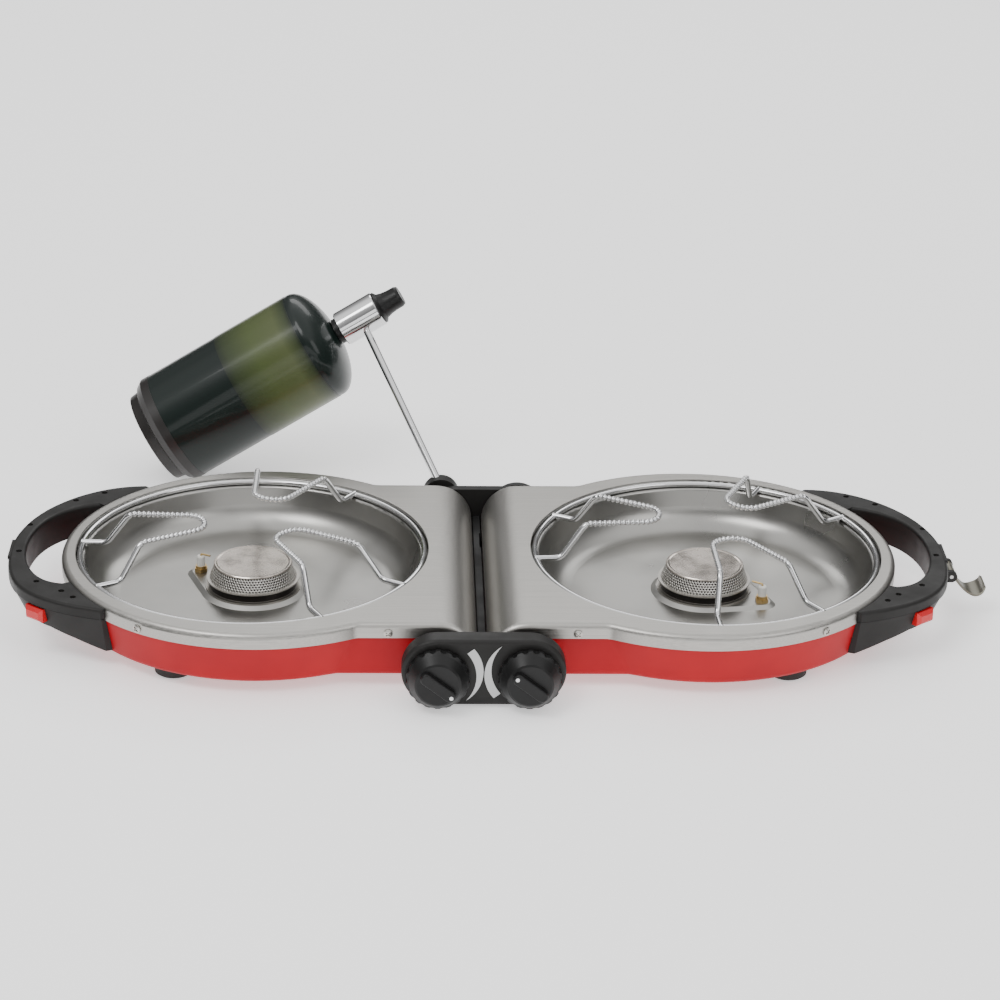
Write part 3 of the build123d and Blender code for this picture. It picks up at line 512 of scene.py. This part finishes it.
def screw_head(centre, outward, radius, dome, thick):
    """Pan head with a cross recess. Rings of points run from the middle to the rim."""
    recess = 0.55 * thick + 0.6 * dome
    outward = outward.normalized()
    across = outward.orthogonal().normalized()
    other = outward.cross(across)
    rings, sides = 12, 48
    arm_half, arm_length = 0.16 * radius, 0.62 * radius
    verts, faces = [], []
    for i in range(1, rings + 1):
        r = radius * i / rings
        for j in range(sides):
            a = 2 * math.pi * j / sides
            x, y = r * math.cos(a), r * math.sin(a)
            rise = thick + dome * (1 - (r / radius) ** 2)
            near = min(abs(x), abs(y))
            if near < arm_half and r < arm_length:
                rise -= recess
            verts.append(centre + across * x + other * y + outward * rise)
    for j in range(sides):
        a = 2 * math.pi * j / sides
        verts.append(centre + (across * math.cos(a) + other * math.sin(a)) * radius)
    top = len(verts)
    verts.append(centre + outward * (thick + dome - recess))
    for j in range(sides):
        n = (j + 1) % sides
        faces.append((top, j, n))
        for i in range(rings):
            a, b = i * sides, (i + 1) * sides
            faces.append((a + j, b + j, b + n, a + n))
    faces.append(tuple(reversed(range(rings * sides, (rings + 1) * sides))))
    return verts, faces


def half_screws(name, side, material):
    """Heads of one half's screws: on the straight edges, on the round skirt and on the handle."""
    parts = []
    for y, way in ((FRONT_Y, -1), (REAR_Y, 1)):
        centre = Vector((side * SKIRT_SCREW_X, y, SKIRT_SCREW_Z))
        parts.append(screw_head(centre, Vector((0, way, 0)), *SKIRT_HEAD))
    for angle in SKIRT_SCREW_ANGLES:
        a = math.radians(angle)
        out = Vector((side * math.cos(a), math.sin(a), 0))
        centre = Vector((side * DISC_X, DISC_Y, SKIRT_SCREW_Z)) + out * (DISC_R + SKIRT_SEAT)
        parts.append(screw_head(centre, out, *SKIRT_HEAD))
    for x, y in HANDLE_SCREWS:
        centre = Vector((side * x, y, HANDLE_SCREW_Z))
        parts.append(screw_head(centre, Vector((0, 0, 1)), *HANDLE_HEAD))
    verts, faces = joined(parts)
    build(name + "_screw_heads", verts, faces, material, name + "_half",
          [name + "_screws"], smooth=False)


# ---------------------------------------------------------------- stage

def floor():
    """White table that glows a little, so that it stays bright between the lights."""
    mesh = bpy.data.meshes.new("floor")
    corners = [(x * FLOOR_HALF, y * FLOOR_HALF, 0) for x, y in ((-1, -1), (1, -1), (1, 1), (-1, 1))]
    mesh.from_pydata(corners, [], [(0, 1, 2, 3)])
    shader = Shader("floor_white", (0.93, 0.93, 0.93), 0.7)
    shader.set("Emission Color", (1.0, 1.0, 1.0, 1.0))
    shader.set("Emission Strength", FLOOR_GLOW)
    mesh.materials.append(shader.mat)
    obj = bpy.data.objects.new("floor", mesh)
    bpy.context.scene.collection.objects.link(obj)


def softbox(name, place, size, power):
    light = bpy.data.lights.new(name, "AREA")
    light.shape = "RECTANGLE"
    light.size, light.size_y = size
    light.energy = power
    obj = bpy.data.objects.new(name, light)
    bpy.context.scene.collection.objects.link(obj)
    obj.location = place
    obj.rotation_euler = (Vector(LIGHT_AIM) - Vector(place)).to_track_quat("-Z", "Y").to_euler()


def surroundings():
    """Pale room: bright overhead, dark near the horizon so that metal has something to reflect."""
    world = bpy.data.worlds.new("studio")
    bpy.context.scene.world = world
    world.use_nodes = True
    tree = world.node_tree
    coords = tree.nodes.new("ShaderNodeTexCoord")
    split = tree.nodes.new("ShaderNodeSeparateXYZ")
    ramp = tree.nodes.new("ShaderNodeValToRGB")
    set_stops(ramp, [(place, (grey, grey, grey)) for place, grey in SKY])
    shift = tree.nodes.new("ShaderNodeMapRange")
    shift.inputs["From Min"].default_value = -1.0
    tree.links.new(coords.outputs["Generated"], split.inputs["Vector"])
    tree.links.new(split.outputs["Z"], shift.inputs["Value"])
    tree.links.new(shift.outputs["Result"], ramp.inputs["Fac"])
    tree.links.new(ramp.outputs["Color"], tree.nodes["Background"].inputs["Color"])


def camera():
    """Camera at the given distance and angles. Roll turns it about its own line of sight."""
    back = Vector((math.sin(YAW) * math.cos(ELEVATION), -math.cos(YAW) * math.cos(ELEVATION),
                   math.sin(ELEVATION)))
    right = Vector((0, 0, 1)).cross(back).normalized()
    up = back.cross(right)
    rolled_right = right * math.cos(ROLL) + up * math.sin(ROLL)
    rolled_up = up * math.cos(ROLL) - right * math.sin(ROLL)
    data = bpy.data.cameras.new("camera")
    data.lens = LENS
    obj = bpy.data.objects.new("camera", data)
    bpy.context.scene.collection.objects.link(obj)
    turn = Matrix((rolled_right, rolled_up, back)).transposed().to_4x4()
    obj.matrix_world = Matrix.Translation(TARGET + back * DISTANCE) @ turn
    bpy.context.scene.camera = obj


materials = make_materials()
# painted shade: near-black matte for the sleeve inside each flame ring
shade_paint = plain("painted_shade_matte", (0.012, 0.011, 0.010), 0.8)
paint_cad(materials)
for name, side in SIDES:
    pan_support(name, side, materials["chrome"])
    flame_ring(name, side, materials["mesh_steel"])
    sleeve_of_painted_shade(name, side, shade_paint)
    half_screws(name, side, materials["zinc_screws"])
floor()
surroundings()
for name, place, size, power in LIGHTS:
    softbox(name, place, size, power)
camera()
